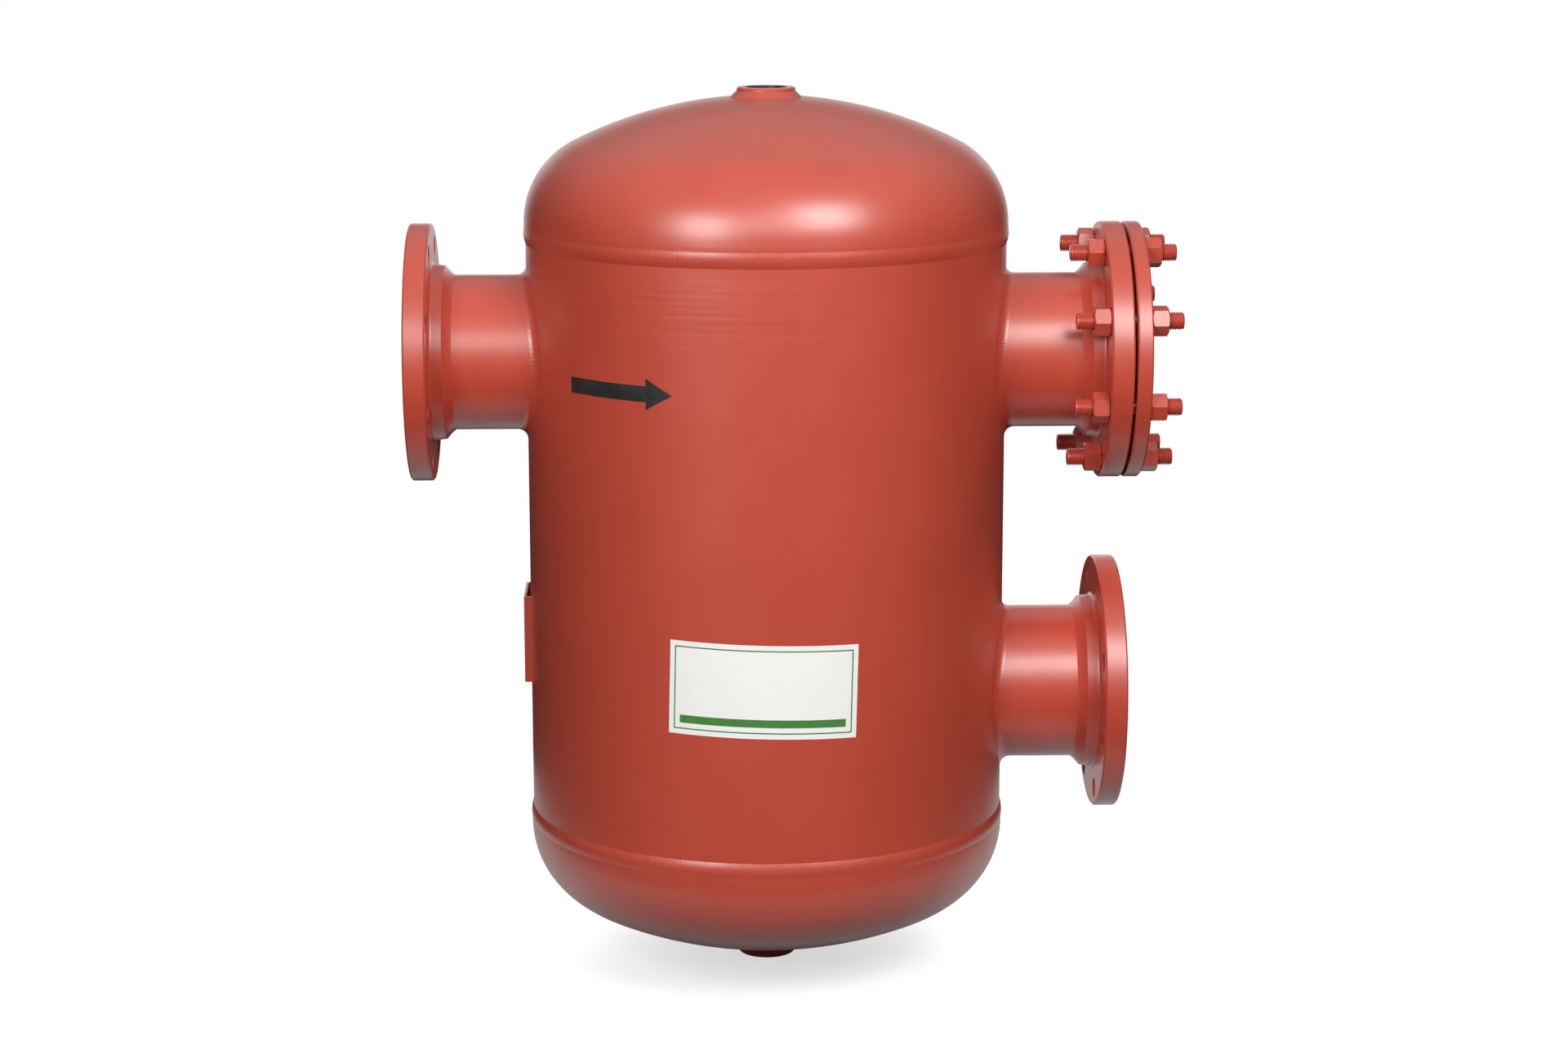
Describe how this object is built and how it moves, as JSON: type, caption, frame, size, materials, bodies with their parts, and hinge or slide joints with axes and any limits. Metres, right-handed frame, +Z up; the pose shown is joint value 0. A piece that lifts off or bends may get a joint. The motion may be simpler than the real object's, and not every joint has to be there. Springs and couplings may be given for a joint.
{
  "type": "air separator",
  "caption": "Vertical welded air separator: rolled shell, dished heads, flanged inlet and outlet, access nozzle with bolted blind flange, threaded vent and drain.",
  "frame": {"origin": "centre of the drain coupling's lower face, on the vessel's axis", "axes": "+Z up the vessel's axis to the vent, +X out of the outlet nozzle, the inlet nozzle points along -X"},
  "size_m": [0.8272, 0.5252, 0.9704],
  "materials": {
    "vessel_paint": "semi-gloss red oxide paint",
    "weld_paint": "painted weld bead",
    "fastener_paint": "painted steel fastener",
    "strainer_steel": "stainless sheet",
    "gasket_sheet": "compressed fibre sheet",
    "arrow_film": "matt black film",
    "label_film": "white vinyl film"
  },
  "bodies": {
    "root": {"access_face_weld": "weld_paint", "access_flange": "vessel_paint", "access_hub_weld": "weld_paint", "access_neck": "vessel_paint", "access_saddle_weld": "weld_paint", "blind_flange": "vessel_paint", "data_plate_bracket": "vessel_paint", "drain_coupling": "vessel_paint", "drain_coupling_weld": "weld_paint", "flange_gasket": "gasket_sheet", "flange_nuts": "fastener_paint", "flange_studs": "fastener_paint", "flow_arrow": "arrow_film", "inlet_face_weld": "weld_paint", "inlet_flange": "vessel_paint", "inlet_hub_weld": "weld_paint", "inlet_neck": "vessel_paint", "inlet_saddle_weld": "weld_paint", "label": "label_film", "lower_girth_weld": "weld_paint", "lower_head": "vessel_paint", "outlet_face_weld": "weld_paint", "outlet_flange": "vessel_paint", "outlet_hub_weld": "weld_paint", "outlet_neck": "vessel_paint", "outlet_saddle_weld": "weld_paint", "shell": "vessel_paint", "shell_seam_weld": "weld_paint", "strainer_end_plate": "strainer_steel", "strainer_guide_ring": "strainer_steel", "strainer_pull_handle": "strainer_steel", "strainer_screen": "strainer_steel", "strainer_seat_ring": "strainer_steel", "upper_girth_weld": "weld_paint", "upper_head": "vessel_paint", "vent_coupling": "vessel_paint", "vent_coupling_weld": "weld_paint"}
  },
  "joints": []
}
